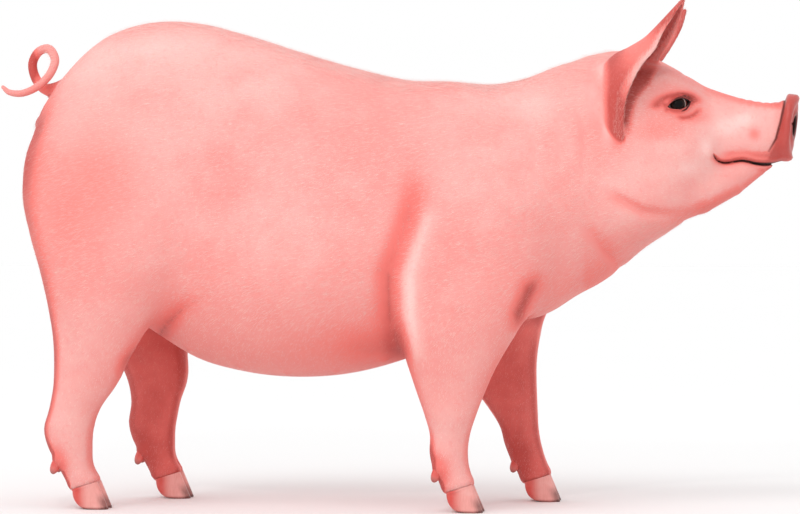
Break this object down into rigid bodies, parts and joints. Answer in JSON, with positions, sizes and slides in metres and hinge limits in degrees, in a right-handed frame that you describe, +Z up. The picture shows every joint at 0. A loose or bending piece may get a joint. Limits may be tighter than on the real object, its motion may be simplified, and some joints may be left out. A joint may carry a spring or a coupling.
{
  "type": "pig",
  "caption": "Still life-size model of a standing pink domestic pig: prick ears, long flat-ended snout, curled tail and cloven hooves in mid stride.",
  "frame": {"origin": "on the floor, under the middle of the pig's bounding box", "axes": "+X towards the snout, +Y to the pig's left, +Z up"},
  "size_m": [1.542, 0.4561, 0.9614],
  "materials": {
    "skin": "matt pink skin under short pale bristles, redder at the feet, ears and folds",
    "snout": "bare moist rose skin, slightly glossy",
    "eye": "wet dark brown eye, glossy",
    "claw": "satin horn, pinkish brown, darker at the tips"
  },
  "bodies": {
    "root": {"trunk": "skin", "neck": "skin", "head": "skin", "lower_jaw": "skin", "snout_disc": "snout", "tail_root": "skin", "tail_loop": "skin", "tail_tip": "skin", "ear_right": "skin", "eye_right": "eye", "hind_thigh_right": "skin", "hind_shank_right": "skin", "fore_arm_right": "skin", "fore_shank_right": "skin", "hind_claw_right_outer": "claw", "hind_dewclaw_right_outer": "claw", "hind_claw_right_inner": "claw", "hind_dewclaw_right_inner": "claw", "fore_claw_right_outer": "claw", "fore_dewclaw_right_outer": "claw", "fore_claw_right_inner": "claw", "fore_dewclaw_right_inner": "claw", "ear_left": "skin", "eye_left": "eye", "hind_thigh_left": "skin", "hind_shank_left": "skin", "fore_arm_left": "skin", "fore_shank_left": "skin", "hind_claw_left_outer": "claw", "hind_dewclaw_left_outer": "claw", "hind_claw_left_inner": "claw", "hind_dewclaw_left_inner": "claw", "fore_claw_left_outer": "claw", "fore_dewclaw_left_outer": "claw", "fore_claw_left_inner": "claw", "fore_dewclaw_left_inner": "claw"}
  },
  "joints": []
}
